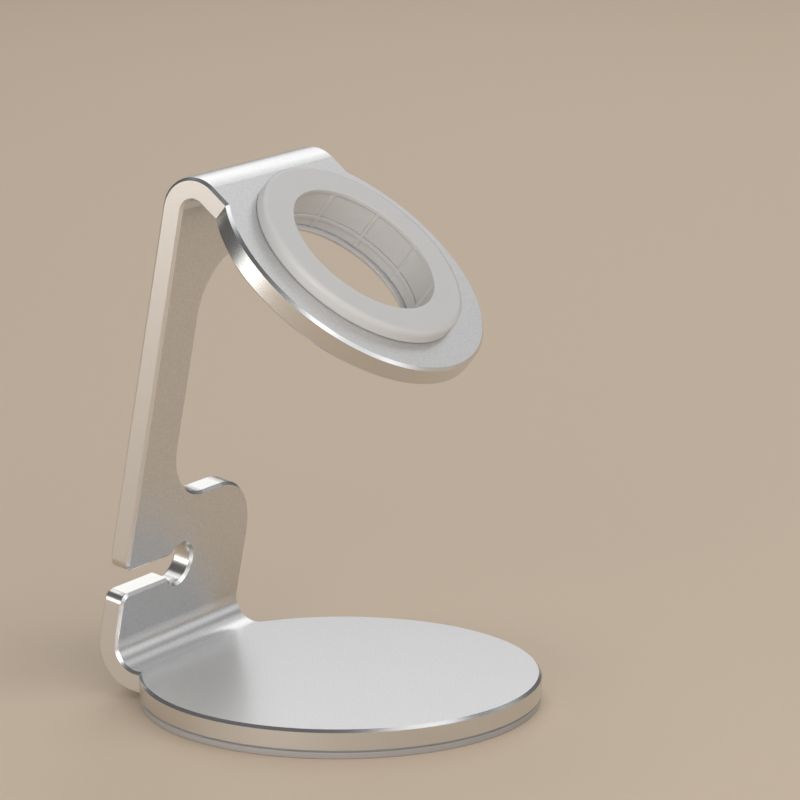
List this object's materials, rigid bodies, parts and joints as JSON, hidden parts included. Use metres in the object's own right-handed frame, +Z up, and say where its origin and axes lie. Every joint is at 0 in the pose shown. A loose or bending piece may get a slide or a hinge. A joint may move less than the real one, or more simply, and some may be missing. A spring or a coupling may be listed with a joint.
{
  "type": "smartwatch charging stand",
  "caption": "Folded aluminium watch charging stand: round base, leaning upright with a cable keyhole, and a sloping round head with a silicone socket for a charging puck.",
  "frame": {"origin": "middle of the pad's underside, on the axis of the round base", "axes": "+Z up, -Y towards the front where the head slopes down, +X to the right seen from the front; the cable slot opens at -X"},
  "size_m": [0.07, 0.0729, 0.0932],
  "materials": {
    "anodised_aluminium": "bead-blasted and silver anodised, with bright cut chamfers",
    "socket_silicone": "matte moulded silicone, pale grey",
    "pad_silicone": "matte silicone, grey"
  },
  "bodies": {
    "root": {"stand_plate": "anodised_aluminium", "charger_ring": "socket_silicone", "base_pad": "pad_silicone"}
  },
  "joints": []
}
